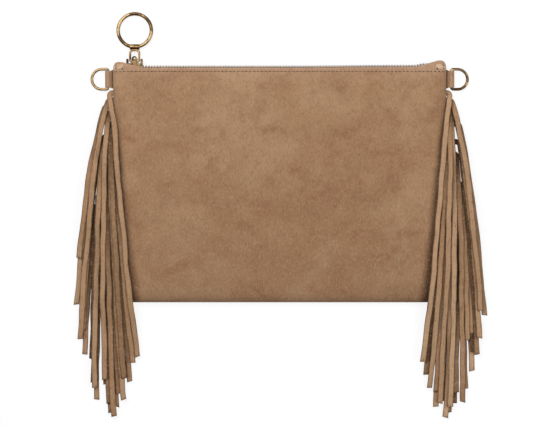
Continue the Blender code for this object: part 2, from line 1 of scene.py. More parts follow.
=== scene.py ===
"""Looks of a fringed suede pouch with a zip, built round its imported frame. Metres, +Z up."""

import math

import bpy
import numpy as np
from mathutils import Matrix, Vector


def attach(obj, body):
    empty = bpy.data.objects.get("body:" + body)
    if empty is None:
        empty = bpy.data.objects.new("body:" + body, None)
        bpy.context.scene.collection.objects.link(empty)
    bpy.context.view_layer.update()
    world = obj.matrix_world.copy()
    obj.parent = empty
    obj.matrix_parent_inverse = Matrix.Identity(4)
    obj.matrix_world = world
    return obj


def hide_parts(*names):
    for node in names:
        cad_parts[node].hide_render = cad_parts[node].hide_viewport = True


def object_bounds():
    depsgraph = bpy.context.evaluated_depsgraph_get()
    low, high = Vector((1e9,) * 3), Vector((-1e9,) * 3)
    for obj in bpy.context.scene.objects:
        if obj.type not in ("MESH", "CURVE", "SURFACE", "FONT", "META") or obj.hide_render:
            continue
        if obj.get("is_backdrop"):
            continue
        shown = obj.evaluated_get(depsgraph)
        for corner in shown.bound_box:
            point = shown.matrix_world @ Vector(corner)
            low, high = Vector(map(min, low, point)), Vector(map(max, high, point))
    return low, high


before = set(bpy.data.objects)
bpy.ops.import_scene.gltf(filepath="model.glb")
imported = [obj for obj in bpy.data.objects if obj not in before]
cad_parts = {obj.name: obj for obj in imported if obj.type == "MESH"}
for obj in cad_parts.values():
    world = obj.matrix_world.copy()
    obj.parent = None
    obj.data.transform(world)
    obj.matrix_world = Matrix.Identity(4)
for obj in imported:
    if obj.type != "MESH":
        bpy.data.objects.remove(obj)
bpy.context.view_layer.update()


# The camera looks straight down on the pouch, square to its front panel, as the photograph does.
VIEW_MIDDLE = (-0.0111, -0.0238)
VIEW_WIDTH = 0.4483
CAMERA_HEIGHT = 2.0

camera_data = bpy.data.cameras.new("camera")
camera_data.sensor_width = 36.0
camera_data.lens = 36.0 * (CAMERA_HEIGHT - 0.004) / VIEW_WIDTH
camera_data.clip_start = 0.01
camera_data.clip_end = 20.0
camera = bpy.data.objects.new("camera", camera_data)
camera.location = (*VIEW_MIDDLE, CAMERA_HEIGHT)
bpy.context.scene.collection.objects.link(camera)
bpy.context.scene.camera = camera
bpy.context.scene.view_settings.view_transform = "Standard"


# Front panel: one piece of tan suede about 1.2 mm thick. It is full over the body, rounds down to the
# side seams and the bottom seam, and its top edge is turned in over the zip tape as a narrow hem.
WIDTH = 0.280
HEIGHT = 0.197
SUEDE = 0.0012
GAP = 0.0003
HALF = WIDTH / 2
TOP = HEIGHT / 2
BOTTOM = -HEIGHT / 2
HEM = 0.010
SEAM = SUEDE + GAP
BODY_RISE = 0.0088
MOUTH_RISE = 0.0110
MOUTH_EASE = 0.060
ROUNDNESS = 24
FRINGE_THICKNESS = 0.0009
TAB_RISE = 0.0022
D_CENTRE = TOP - 0.0093
TAB_HALF = 0.00695
FRINGE_TOP = D_CENTRE - 0.00965 - 2 * GAP
FRINGE_LOW = FRINGE_TOP - 25 * 0.0049
FOLD = SUEDE + GAP / 2
STITCH_ROW = TOP - 0.0033
CORNER_LIFT = (0.0046, 0.0052)
CORNER_ROUND = 0.0042
NAP_COLOUR = (0.345, 0.192, 0.102)
NAP_RED = (0.285, 0.135, 0.070)
NAP_PALE = (0.455, 0.285, 0.165)
NAP_SHADE = (0.215, 0.115, 0.058)
# Paler hem suede, also used as a painted highlight below the hem's stitches.
HEM_PALE_AND_HIGHLIGHT = (0.520, 0.335, 0.225)
STRIP_PALE = (0.585, 0.388, 0.240)
# The darkest colour: painted shade and shadow on strips, panel and tab, and the strips' dark streaks.
SHADE_AND_STREAK_DARK = (0.042, 0.017, 0.006)


def ease(value):
    """0 below 0, 1 above 1, and 3v^2 - 2v^3 between."""
    value = np.clip(value, 0.0, 1.0)
    return value * value * (3 - 2 * value)


def wander(place, seed, waves=5):
    """A smooth, repeatable wobble from -1 to 1: a sum of sines whose lengths and phases follow the seed."""
    values = np.random.default_rng(seed)
    total = np.zeros(np.shape(place))
    for wave in range(1, waves + 1):
        total = total + np.sin(place * wave * values.uniform(0.7, 1.3) + values.uniform(0, 6.28)) / wave
    return total / 1.6


def grid_faces(rows, columns, start=0, around=False, closed=False):
    """Quads over a grid stored row by row; around joins the columns' ends, closed joins the rows'."""
    row, column = np.meshgrid(np.arange(rows if closed else rows - 1),
                              np.arange(columns if around else columns - 1), indexing="ij")
    after = (row + 1) % rows
    beside = (column + 1) % columns
    quads = np.stack([row * columns + column, row * columns + beside,
                      after * columns + beside, after * columns + column], axis=-1)
    return quads.reshape(-1, 4) + start


def make_piece(name, points, faces, material, smooth=True, uv=None):
    """A mesh at the origin from points and faces; uv is one pair per vertex."""
    mesh = bpy.data.meshes.new(name)
    mesh.from_pydata(np.asarray(points).reshape(-1, 3).tolist(), [], [tuple(face) for face in faces])
    if smooth:
        mesh.shade_smooth()
    if uv is not None:
        layer = mesh.uv_layers.new(name="along")
        corners = np.zeros(len(mesh.loops), dtype=np.int64)
        mesh.loops.foreach_get("vertex_index", corners)
        layer.data.foreach_set("uv", np.asarray(uv, dtype=np.float32).reshape(-1, 2)[corners].ravel())
    mesh.materials.append(material)
    piece = bpy.data.objects.new(name, mesh)
    bpy.context.scene.collection.objects.link(piece)
    return piece


class Shade:
    """A number or colour travelling through a material; arithmetic on it adds Math nodes."""

    def __init__(self, tree, socket):
        self.tree = tree
        self.socket = socket

    def add(self, kind, settings, inputs, output=0):
        """Adds a node: its settings first, then its sockets' values or links. Gives one output."""
        node = self.tree.nodes.new(kind)
        for name, value in settings.items():
            if name == "stops":
                ramp = node.color_ramp
                while len(ramp.elements) < len(value):
                    ramp.elements.new(0.5)
                for element, (place, colour) in zip(ramp.elements, value):
                    element.position = place
                    element.color = (*colour, 1.0) if len(colour) == 3 else colour
            else:
                setattr(node, name, value)
        for name, value in inputs.items():
            if isinstance(value, Shade):
                self.tree.links.new(value.socket, node.inputs[name])
            else:
                node.inputs[name].default_value = value
        return Shade(self.tree, node.outputs[output])

    def math(self, operation, first, second=0.0):
        """One Math node."""
        return self.add("ShaderNodeMath", {"operation": operation}, {0: first, 1: second})

    def __add__(self, other):
        return self.math("ADD", self, other)

    __radd__ = __add__

    def __sub__(self, other):
        return self.math("SUBTRACT", self, other)

    def __rsub__(self, other):
        return self.math("SUBTRACT", other, self)

    def __mul__(self, other):
        return self.math("MULTIPLY", self, other)

    __rmul__ = __mul__

    def between(self, low, high):
        """0 at low, 1 at high, clamped, with a smooth rise."""
        return self.add("ShaderNodeMapRange", {"interpolation_type": "SMOOTHSTEP"},
                        {"Value": self, "From Min": low, "From Max": high})

    def mix(self, other, share):
        """This colour towards another one by share."""
        node = self.tree.nodes.new("ShaderNodeMix")
        node.data_type = "RGBA"
        for socket, value in ((node.inputs[0], share), (node.inputs[6], self), (node.inputs[7], other)):
            if isinstance(value, Shade):
                self.tree.links.new(value.socket, socket)
            else:
                socket.default_value = value if isinstance(value, float) else (*value, 1.0)
        return Shade(self.tree, node.outputs[2])

    def noise(self, scale, detail=3.0, stretch=(1.0, 1.0, 1.0), seed=0.0, rough=0.5, twist=0.0):
        """Noise over these coordinates, with cells about 1 / scale metres across."""
        sizes = tuple(scale * part for part in stretch)
        placed = self.add("ShaderNodeMapping", {}, {"Vector": self, "Scale": sizes,
                                                    "Location": (seed, seed * 0.7, seed * 1.3)})
        return placed.add("ShaderNodeTexNoise", {}, {"Vector": placed, "Scale": 1.0, "Detail": detail,
                                                     "Roughness": rough, "Distortion": twist})


def new_material(name):
    """A material, its Principled shader and its Object coordinates."""
    material = bpy.data.materials.new(name)
    material.use_nodes = True
    tree = material.node_tree
    shader = tree.nodes["Principled BSDF"]
    coordinates = tree.nodes.new("ShaderNodeTexCoord")
    return material, shader, Shade(tree, coordinates.outputs["Object"])


def bump(shader, height, distance):
    """Feeds a height in [0, 1] to the shader's normal."""
    node = height.add("ShaderNodeBump", {}, {"Height": height, "Distance": distance, "Strength": 1.0})
    height.tree.links.new(node.socket, shader.inputs["Normal"])


def suede(name, base=NAP_COLOUR, cloud=1.0, grain=1.0, seed=0.0, strips=False, hem=False, seam=False):
    """Brushed suede: broad clouds, reddish patches, small mottling where the nap lies, and a fine grain.

    Colour is the base mixed towards red, pale and shade by noises of falling size. The nap's hairs are
    short streaks of noise, stretched about 2 to 1, and they raise the bump. On strips the UV map gives
    the place across a strip and the strip's tone. The edges are darkened, a little as the cut edges' own
    colour and mostly as painted shade in the gaps between strips; the tone is random, with painted
    shade where other strips lie on the strip, and a low tone mixes towards the dark colour and a high
    one towards pale. With hem, the hem above the stitches is paler, the 12 mm below them are lightened
    as a painted highlight where the panel curves over at the top, the panel darkens towards the bottom
    and at the bottom seam as painted shade, and the fringe's shadow is painted on the nap beside it.
    With seam, painted shade darkens the tab next to the side seam.
    """
    material, shader, place = new_material(name)
    broad = place.noise(24.0, 3.0, seed=seed + 1.0, rough=0.55, twist=0.7).between(0.36, 0.68)
    ruddy = place.noise(34.0, 3.0, seed=seed + 7.3, rough=0.55, twist=0.9).between(0.48, 0.72)
    dim = place.noise(55.0, 3.0, seed=seed + 3.1, rough=0.6, twist=0.6).between(0.48, 0.76)
    brushed = place.noise(210.0, 5.0, seed=seed + 5.0, rough=0.75)
    hairs = place.noise(850.0, 3.0, stretch=(1.0, 0.5, 1.0), seed=seed, rough=0.75)
    wide = place.noise(9.0, 2.0, seed=seed + 11.0, twist=0.5)
    first = place.add("ShaderNodeRGB", {}, {})
    first.socket.default_value = (*base, 1.0)
    colour = first.mix(NAP_PALE, broad * (0.62 * cloud))
    colour = colour.mix(NAP_PALE, wide.between(0.52, 0.75) * (0.35 * cloud))
    colour = colour.mix(NAP_RED, wide.between(0.48, 0.25) * (0.40 * cloud))
    colour = colour.mix(NAP_RED, ruddy * (0.62 * cloud))
    colour = colour.mix(NAP_SHADE, dim * (0.36 * cloud))
    if strips:
        unrolled = place.add("ShaderNodeUVMap", {"uv_map": "along"}, {})
        across = unrolled.add("ShaderNodeSeparateXYZ", {}, {"Vector": unrolled}, "X")
        tone_and_shade = unrolled.add("ShaderNodeSeparateXYZ", {}, {"Vector": unrolled}, "Y")
        streak = place.noise(120.0, 3.0, stretch=(4.0, 0.5, 1.0), seed=seed + 2.0)
        edge = across.math("ABSOLUTE", across - 0.5) + streak * 0.16 - 0.08
        # Painted shade: the tone mixes darken strips under others and lighten those on top, over a random
        # tone. The edge mix is mostly painted shade in the gaps between strips, a little the cut edges' own
        # colour. The streaks are the suede's own.
        colour = colour.mix(STRIP_PALE, tone_and_shade.between(0.40, 1.0) * 0.80)
        colour = colour.mix(SHADE_AND_STREAK_DARK, tone_and_shade.between(0.56, 0.0) * 0.88)
        colour = colour.mix(SHADE_AND_STREAK_DARK, edge.between(0.30, 0.52) * 0.92)
        colour = colour.mix(SHADE_AND_STREAK_DARK, streak.between(0.56, 0.82) * 0.40)
    colour = colour.mix(NAP_SHADE, brushed.between(0.50, 0.80) * (0.55 * grain))
    colour = colour.mix(NAP_PALE, brushed.between(0.52, 0.22) * (0.50 * grain))
    if hem:
        up = place.add("ShaderNodeSeparateXYZ", {}, {"Vector": place}, "Y")
        out = place.add("ShaderNodeSeparateXYZ", {}, {"Vector": place}, "X")
        out = out.math("ABSOLUTE", out)
        drop = FRINGE_TOP - up
        under = out + drop * 0.055 + drop * drop * 0.13 + (0.0012 - HALF)
        # Painted highlight: lighter over the 12 mm below the stitches, where the panel curves over the top.
        # The hem above them is paler in its own colour.
        colour = colour.mix(HEM_PALE_AND_HIGHLIGHT, up.between(STITCH_ROW - 0.012, STITCH_ROW) * 0.22)
        colour = colour.mix(HEM_PALE_AND_HIGHLIGHT, up.between(STITCH_ROW - 0.0003, STITCH_ROW + 0.0008) * 0.35)
        # Painted shade: darker towards the bottom, and more in the last 8 mm at the bottom seam.
        colour = colour.mix(NAP_SHADE, up.between(TOP, BOTTOM) * 0.28)
        colour = colour.mix(NAP_SHADE, up.between(BOTTOM + 0.008, BOTTOM) * 0.30)
        # Painted shadow of the fringe on the panel, along the fringe's inner edge.
        fringe_shadow = (under + drop * 0.034).between(-0.0052, 0.0042) * drop.between(0.002, 0.030)
        colour = colour.mix(SHADE_AND_STREAK_DARK, fringe_shadow * 0.85)
    if seam:
        out = place.add("ShaderNodeSeparateXYZ", {}, {"Vector": place}, "X")
        out = out.math("ABSOLUTE", out)
        # Painted shade: the tab darkens next to the side seam, in the seam's groove.
        colour = colour.mix(SHADE_AND_STREAK_DARK, out.between(HALF + 0.0022, HALF + 0.0004) * 0.85)
    colour = colour.mix(NAP_PALE, hairs.between(0.50, 0.76) * (0.80 * grain))
    colour = colour.mix(NAP_SHADE, hairs.between(0.50, 0.24) * (0.74 * grain))
    place.tree.links.new(colour.socket, shader.inputs["Base Color"])
    shader.inputs["Roughness"].default_value = 0.95
    shader.inputs["Specular IOR Level"].default_value = 0.12
    shader.inputs["Sheen Weight"].default_value = 0.18
    shader.inputs["Sheen Roughness"].default_value = 0.55
    shader.inputs["Sheen Tint"].default_value = (0.86, 0.68, 0.52, 1.0)
    bump(shader, hairs * 0.5 + brushed * 0.5, 0.00022)
    return material


def panel_rise(x, y):
    """Height of the front panel's inner face: a full body that falls to the seams on a high-power curve."""
    header = ease((y - FRINGE_LOW + 0.0033) / 0.0030)
    tab = ease((y - FRINGE_TOP) / (D_CENTRE - TAB_HALF - GAP - FRINGE_TOP))
    seam = SEAM + (FRINGE_THICKNESS + GAP) * header + (TAB_RISE - FRINGE_THICKNESS) * tab
    plateau = BODY_RISE + (MOUTH_RISE - BODY_RISE) * ease((y - TOP + HEM + MOUTH_EASE) / MOUTH_EASE)
    side = np.sqrt(np.clip(1 - np.abs(x / HALF) ** ROUNDNESS, 0, 1))
    end = np.sqrt(np.clip(1 - np.clip((TOP - y) / HEIGHT, 0, 1) ** ROUNDNESS, 0, 1))
    return seam + (plateau - seam) * side * end


def slack(x, y):
    """Soft unevenness of empty suede, as small broad waves that die out at the seams and the mouth."""
    inside = ease((HALF - np.abs(x)) / 0.040) * ease((y - BOTTOM) / 0.040) * ease((TOP - 0.004 - y) / 0.030)
    waves = wander(x * 38 + 1.2 * np.sin(y * 30), 4) * 0.55 + wander(y * 34 + x * 14, 9) * 0.45
    return 0.0006 * inside * (waves - 0.4)


def sheet_faces(rows, columns):
    """Faces of a closed sheet: its outer grid, its inner grid turned, and a band between their borders."""
    total = rows * columns
    border = np.concatenate([np.arange(columns), np.arange(1, rows) * columns + columns - 1,
                             (rows - 1) * columns + np.arange(columns - 2, -1, -1),
                             np.arange(rows - 2, 0, -1) * columns])
    after = np.roll(border, -1)
    band = np.stack([border, after, after + total, border + total], axis=1)
    return np.concatenate([grid_faces(rows, columns), grid_faces(rows, columns, total)[:, ::-1],
                           band[:, ::-1]])


def edge_spaced(half, count, power=2.2):
    """Places from -half to half that crowd towards both ends."""
    spread = np.linspace(-1, 1, count)
    return half * np.sign(spread) * (1 - (1 - np.abs(spread)) ** power)


def corner_lift(x):
    """How far the mouth's edge rises above TOP towards an end of the zip, before it rounds off."""
    side = np.where(x > 0, CORNER_LIFT[1], CORNER_LIFT[0])
    out = np.abs(x)
    up = side * ease((out - 0.113) / 0.023) ** 0.8 + 0.0007 * ease((x - 0.010) / 0.090)
    return up * np.sqrt(np.clip(1 - np.clip((out - HALF + CORNER_ROUND) / CORNER_ROUND, 0, 1) ** 2, 0.02, 1))


def lifted(points):
    """Raises what lies above the row of stitches by its share of the corner's lift."""
    share = np.clip((points[:, 1] - STITCH_ROW - 0.0004) / (TOP - STITCH_ROW - 0.0004), 0, 1)
    points[:, 1] += corner_lift(points[:, 0]) * share
    return points


def make_panel(name, rise, fold_side, material, rows=150, columns=230):
    """A closed sheet: an outer and an inner face SUEDE apart, from the hem round the fold to the bottom."""
    x = edge_spaced(HALF, columns)
    hem = GAP + (HEM - FOLD - GAP) * ease((HALF - 0.0094 - np.abs(x)) / 0.0094)
    edge = rise(x, np.full(columns, TOP - FOLD))
    outer = []
    inner = []
    for share in np.linspace(1, 0, 6)[:-1]:
        y = TOP - FOLD - hem * share
        outer.append(np.stack([x, y, edge + fold_side * (GAP + SUEDE)], axis=1))
        inner.append(np.stack([x, y, edge + fold_side * GAP], axis=1))
    for angle in np.radians(np.linspace(90, -90, 13)):
        for line, radius in ((outer, FOLD), (inner, GAP / 2)):
            line.append(np.stack([x, np.full(columns, TOP - FOLD + radius * math.cos(angle)),
                                  edge + fold_side * (GAP / 2 + radius * math.sin(angle))], axis=1))
    down = (TOP - FOLD - BOTTOM) / 2
    for y in ((TOP - FOLD + BOTTOM) / 2 - edge_spaced(down, rows))[1:]:
        y = np.full(columns, y)
        height = rise(x, y)
        outer.append(np.stack([x, y, height - fold_side * SUEDE], axis=1))
        inner.append(np.stack([x, y, height], axis=1))
    faces = sheet_faces(len(outer), columns)
    if fold_side < 0:
        faces = faces[:, ::-1]
    points = lifted(np.array(outer + inner).reshape(-1, 3))
    return make_piece(name, points, faces, material)


def front_rise(x, y):
    """The front panel's height with its slack, drawn in along the stitches and full just above them."""
    groove = 0.00022 * np.exp(-((y - STITCH_ROW) / 0.0009) ** 2)
    swell = 0.00018 * np.exp(-((y - STITCH_ROW - 0.0018) / 0.0008) ** 2)
    return panel_rise(x, y) + slack(x, y) + (swell - groove) * ease((HALF - 0.006 - np.abs(x)) / 0.006)


# The body suede paints a highlight below the hem's stitches, shade towards the bottom and the fringes'
# shadows on the panel.
body_suede = suede("body_suede", hem=True)
front = make_panel("front_panel_suede", front_rise, -1, body_suede)
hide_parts("front_panel")
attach(front, "bag")


# Back panel: the same suede and the same turned hem. It lies flat on the table.
back_suede = suede("back_suede", seed=20.0)
back = make_panel("back_panel_suede", lambda x, y: np.full(len(x), SUEDE), 1, back_suede, rows=60, columns=80)
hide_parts("back_panel")
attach(back, "bag")


# Hem stitching: one row of thread along the front hem, about 3.3 mm a stitch. Each stitch is a short
# arched thread that dips into the suede at both ends.
STITCH_STEP = 0.0033
STITCH_LENGTH = 0.0019
THREAD = 0.00040


def threads(centres, along, length, radius, rise, around=6, steps=7):
    """Arched threads: each is a tube whose radius is r(1 - s^4)^0.5 and whose rise is h(1 - s^2)."""
    s = np.linspace(-1, 1, steps)
    turn = np.arange(around) * 2 * np.pi / around
    swell = radius * np.sqrt(np.clip(1 - s ** 4, 0.02, 1))
    centres = np.asarray(centres, dtype=float)
    along = np.asarray(along, dtype=float)
    aside = np.stack([-along[:, 1], along[:, 0], np.zeros(len(along))], axis=1)
    up = np.cross(along, aside)
    spine = centres[:, None] + along[:, None] * (s * length / 2)[None, :, None]
    spine = spine + up[:, None] * (rise * (1 - s ** 2))[None, :, None]
    ring = (aside[:, None, None] * (swell[:, None] * np.cos(turn)[None, :])[None, :, :, None]
            + up[:, None, None] * (swell[:, None] * np.sin(turn)[None, :])[None, :, :, None])
    points = spine[:, :, None] + ring
    faces = []
    for index in range(len(centres)):
        start = index * steps * around
        faces += grid_faces(steps, around, start, around=True).tolist()
        faces.append([start + corner for corner in range(around)][::-1])
        faces.append([start + (steps - 1) * around + corner for corner in range(around)])
    return points.reshape(-1, 3), faces


thread_material, thread_shader, thread_place = new_material("tan_thread")
twist = thread_place.noise(2200.0, 1.0, stretch=(1.0, 0.4, 1.0))
thread_colour = twist.add("ShaderNodeValToRGB", {"stops": [(0.3, (0.085, 0.046, 0.024)),
                                                          (0.7, (0.160, 0.090, 0.048))]}, {"Fac": twist})
thread_place.tree.links.new(thread_colour.socket, thread_shader.inputs["Base Color"])
thread_shader.inputs["Roughness"].default_value = 0.7
bump(thread_shader, twist, 0.0001)
stitch_x = np.arange(-HALF + 0.0030, HALF - 0.0020, STITCH_STEP)
stitch_y = np.full(len(stitch_x), STITCH_ROW)
stitch_z = front_rise(stitch_x, stitch_y) + SUEDE - THREAD * 0.1
stitch_along = np.tile([1.0, 0.0, 0.0], (len(stitch_x), 1))
points, faces = threads(np.stack([stitch_x, stitch_y, stitch_z], axis=1), stitch_along,
                        STITCH_LENGTH, THREAD, THREAD * 0.5)
hem_stitches = make_piece("hem_stitches", points, faces, thread_material)
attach(hem_stitches, "bag")


# Lining and zip tapes: a plain woven pouch inside, and two brown woven tapes sewn under the hems.
# They stay as the frame has them and get a weave.
def woven(name, colour, dark, pitch):
    """Plain weave: the product of two sine waves a thread pitch apart sets colour and bump."""
    material, shader, place = new_material(name)
    waves = {"Vector": place, "Scale": pitch}
    threads_across = place.add("ShaderNodeTexWave", {"bands_direction": "X"}, waves)
    threads_up = place.add("ShaderNodeTexWave", {"bands_direction": "Y"}, waves)
    over = threads_across * threads_up
    first = place.add("ShaderNodeRGB", {}, {})
    first.socket.default_value = (*colour, 1.0)
    tint = first.mix(dark, 1 - over)
    place.tree.links.new(tint.socket, shader.inputs["Base Color"])
    shader.inputs["Roughness"].default_value = 0.85
    bump(shader, over, 0.0001)
    return material


def dress(node, material):
    """Gives a node of the frame its material."""
    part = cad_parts[node]
    part.data.materials.clear()
    part.data.materials.append(material)


dress("lining", woven("lining_weave", (0.30, 0.22, 0.16), (0.16, 0.11, 0.08), 600.0))
tape_weave = woven("zip_tape_weave", (0.20, 0.125, 0.075), (0.09, 0.055, 0.033), 700.0)
dress("zip_tape_front", tape_weave)
dress("zip_tape_back", tape_weave)


# Zip teeth: two rows of pressed brass teeth at 2.4 mm pitch, half a pitch apart, clamped over the
# tapes' upper edges. Only their tops show, above the front hem. They rise with the zip's two ends, by
# TOOTH_LIFT at most, so that the link clears them when the slider is open. Stops close the chain.
TOOTH_PITCH = 0.0024
CHAIN_LOW = 0.0977
CHAIN_HIGH = 0.1005
CHAIN_SIDE = 0.0056
ZIP_MIDDLE = 0.0058
CHAIN_START = -0.1278
CHAIN_END = 0.1250
BACK_ROW_LOWER = 0.0011
TOOTH_LIFT = 0.0019


def aged_brass(name, bare, patina, share=0.5, polish=0.30):
    """Brass with a brown patina, rubbed back to bare metal in long patches; share is how much is brown."""
    material, shader, place = new_material(name)
    broad = place.noise(75.0, 2.0, seed=3.0, twist=0.4)
    fine = place.noise(420.0, 3.0, rough=0.65)
    speck = place.noise(2600.0, 2.0)
    first = place.add("ShaderNodeRGB", {}, {})
    first.socket.default_value = (*bare, 1.0)
    colour = first.mix(patina, (broad * 0.65 + fine * 0.35).between(0.66 - share * 0.30, 0.76 - share * 0.30))
    colour = colour.mix(patina, fine.between(0.50, 0.75) * 0.6)
    colour = colour.mix((0.050, 0.026, 0.012), speck.between(0.60, 0.78) * 0.5)
    place.tree.links.new(colour.socket, shader.inputs["Base Color"])
    shader.inputs["Metallic"].default_value = 1.0
    roughness = fine * 0.24 + (polish - 0.12)
    place.tree.links.new(roughness.socket, shader.inputs["Roughness"])
    bump(shader, speck, 0.00002)
    return material


def rounded_blocks(centres, size, power=4.0, around=10, rings=7):
    """Superellipsoids |x/a|^p + |y/b|^p + |z/c|^p = 1, one at each centre."""
    lift = np.linspace(-np.pi / 2, np.pi / 2, rings)
    turn = np.arange(around) * 2 * np.pi / around
    bend = 2 / power
    cl = np.sign(np.cos(lift)) * np.abs(np.cos(lift)) ** bend
    sl = np.sign(np.sin(lift)) * np.abs(np.sin(lift)) ** bend
    ct = np.sign(np.cos(turn)) * np.abs(np.cos(turn)) ** bend
    st = np.sign(np.sin(turn)) * np.abs(np.sin(turn)) ** bend
    unit = np.stack([cl[1:-1, None] * ct, cl[1:-1, None] * st, np.repeat(sl[1:-1, None], around, 1)], axis=-1)
    poles = np.array([[0.0, 0.0, -1.0], [0.0, 0.0, 1.0]])
    block = np.concatenate([unit.reshape(-1, 3), poles]) * np.asarray(size) / 2
    centres = np.asarray(centres)
    points = centres[:, None] + block[None]
    single = grid_faces(rings - 2, around, around=True).tolist()
    low = (rings - 2) * around
    for corner in range(around):
        beside = (corner + 1) % around
        single.append([low, beside, corner])
        single.append([low + 1, low - around + corner, low - around + beside])
    faces = [[index + copy * len(block) for index in face] for copy in range(len(centres)) for face in single]
    return points.reshape(-1, 3), faces


zip_brass = aged_brass("zip_brass", (0.190, 0.110, 0.050), (0.060, 0.032, 0.016), 0.5, 0.42)
tooth_size = (0.00135, CHAIN_HIGH - CHAIN_LOW, CHAIN_SIDE / 2 - 0.0001)
for side, name, shift in ((1, "front", 0.0), (-1, "back", 0.5)):
    count = int((CHAIN_END - CHAIN_START) / TOOTH_PITCH)
    tooth_x = CHAIN_START + (np.arange(count) + 0.5 + shift) * TOOTH_PITCH
    tooth_x = tooth_x[tooth_x < CHAIN_END - 0.0005]
    tooth_y = (CHAIN_LOW + CHAIN_HIGH) / 2 + (side - 1) * BACK_ROW_LOWER / 2
    tooth_y = tooth_y + np.minimum(corner_lift(tooth_x) * 0.95, TOOTH_LIFT)
    centres = np.stack([tooth_x, tooth_y,
                        np.full(len(tooth_x), ZIP_MIDDLE + side * (CHAIN_SIDE / 4 + 0.00005))], axis=1)
    points, faces = rounded_blocks(centres, tooth_size)
    teeth = make_piece("zip_teeth_" + name + "_row", points, faces, zip_brass)
    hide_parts("zip_teeth_" + name)
    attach(teeth, "bag")
for stop in ("zip_top_stop_front", "zip_top_stop_back", "zip_bottom_stop"):
    dress(stop, zip_brass)


# Slider, link and ring: cast and bent brass, tumbled to an old finish. The link swings in the
# slider's crown and the ring in the link's eye, and both droop onto the table.
PIVOT = (-0.1220, 0.1037, 0.0058)
LINK_WIRE = 0.0019
LINK_SHOULDER = 0.0026
BARREL = 0.0041
LINK_WIDTH = 0.0095
LINK_LENGTH = 0.0131
EYE_WIDTH = 0.0050
WIRE_BEND = 0.0016
RING_SIZE = 0.0310
RING_WIRE = 0.0030
RING_RADIUS = (RING_SIZE - RING_WIRE) / 2
EYE_BORE = RING_WIRE / 2 + (EYE_WIDTH / 2) ** 2 / (2 * RING_RADIUS) + 0.00015
EYE_OUTER = EYE_BORE + 0.0005
LINK_DROOP = math.asin((PIVOT[2] - EYE_OUTER - 0.00005) / LINK_LENGTH)
RING_DROOP = math.asin((EYE_OUTER - RING_WIRE / 2) / (2 * RING_RADIUS))


def arc(middle, radius, start, end, steps):
    """Points on a circular arc from start to end degrees."""
    turn = np.radians(np.linspace(start, end, steps + 1))
    return np.stack([middle[0] + radius * np.cos(turn), middle[1] + radius * np.sin(turn)], axis=1)


def wire(path, radius, sides=20):
    """A closed round wire: circle r(cos t * aside + sin t * up) carried along a path in the XY plane."""
    path = np.column_stack([path, np.zeros(len(path))])
    along = np.roll(path, -1, axis=0) - np.roll(path, 1, axis=0)
    along /= np.linalg.norm(along, axis=1)[:, None]
    aside = np.stack([along[:, 1], -along[:, 0], np.zeros(len(path))], axis=1)
    turn = np.arange(sides) * 2 * np.pi / sides
    points = (path[:, None] + radius * np.cos(turn)[None, :, None] * aside[:, None]
              + radius * np.sin(turn)[None, :, None] * np.array([0.0, 0.0, 1.0]))
    signed = 0.5 * np.sum(path[:, 0] * np.roll(path[:, 1], -1) - np.roll(path[:, 0], -1) * path[:, 1])
    faces = grid_faces(len(path), sides, around=True, closed=True)
    if signed > 0:
        faces = faces[:, ::-1]
    return points.reshape(-1, 3), faces


def tilted(points, droop, origin):
    """Turned down about the X axis through the origin by droop, then moved to the origin."""
    c, s = math.cos(droop), math.sin(droop)
    x, y, z = points[:, 0], points[:, 1], points[:, 2]
    return np.stack([x + origin[0], y * c + z * s + origin[1], -y * s + z * c + origin[2]], axis=1)


ring_brass = aged_brass("ring_brass", (0.400, 0.268, 0.130), (0.120, 0.064, 0.024), 0.62, 0.30)
slider_brass = aged_brass("slider_brass", (0.230, 0.150, 0.068), (0.045, 0.024, 0.010), 0.85, 0.38)
dress("slider", slider_brass)

link_half = (LINK_WIDTH - LINK_WIRE) / 2
link_top = LINK_LENGTH - EYE_BORE - LINK_WIRE / 2
path = np.concatenate([arc((link_half - WIRE_BEND, WIRE_BEND), WIRE_BEND, -90, 0, 8),
                       arc((link_half - LINK_SHOULDER, link_top - LINK_SHOULDER), LINK_SHOULDER, 0, 90, 10),
                       arc((LINK_SHOULDER - link_half, link_top - LINK_SHOULDER), LINK_SHOULDER, 90, 180, 10),
                       arc((WIRE_BEND - link_half, WIRE_BEND), WIRE_BEND, 180, 270, 8)])
points, faces = wire(path, LINK_WIRE / 2)
# The barrel that the ring runs through: its bore flares as b + x^2 / 2R, so that the ring's curve clears it.
turn = np.arange(40) * 2 * np.pi / 40
x = np.linspace(-BARREL, BARREL, 17)
flare = EYE_BORE - 0.0003 + x ** 2 / (2 * RING_RADIUS)
crown = EYE_OUTER - 0.00012 * (x / BARREL) ** 4
profile = np.concatenate([np.stack([x, crown], axis=1), np.stack([x, flare], axis=1)[::-1]])
barrel = np.stack([np.repeat(profile[:, 0][None], 40, 0),
                   LINK_LENGTH + profile[:, 1][None] * np.cos(turn)[:, None],
                   profile[:, 1][None] * np.sin(turn)[:, None]], axis=-1)
barrel_faces = grid_faces(40, len(profile), len(points), around=True, closed=True)[:, ::-1]
points = tilted(np.concatenate([points, barrel.reshape(-1, 3)]), LINK_DROOP, PIVOT)
link = make_piece("pull_link_wire", points, np.concatenate([faces, barrel_faces]), ring_brass)
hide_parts("pull_link")
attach(link, "pull_link")

path = arc((0, RING_RADIUS), RING_RADIUS, -90, 270, 120)[:-1]
points, faces = wire(path, RING_WIRE / 2, 28)
eye = tilted(np.array([[0.0, LINK_LENGTH, 0.0]]), LINK_DROOP, PIVOT)[0]
ring = make_piece("pull_ring_wire", tilted(points, RING_DROOP, eye), faces, ring_brass)
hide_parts("pull_ring")
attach(ring, "pull_ring")


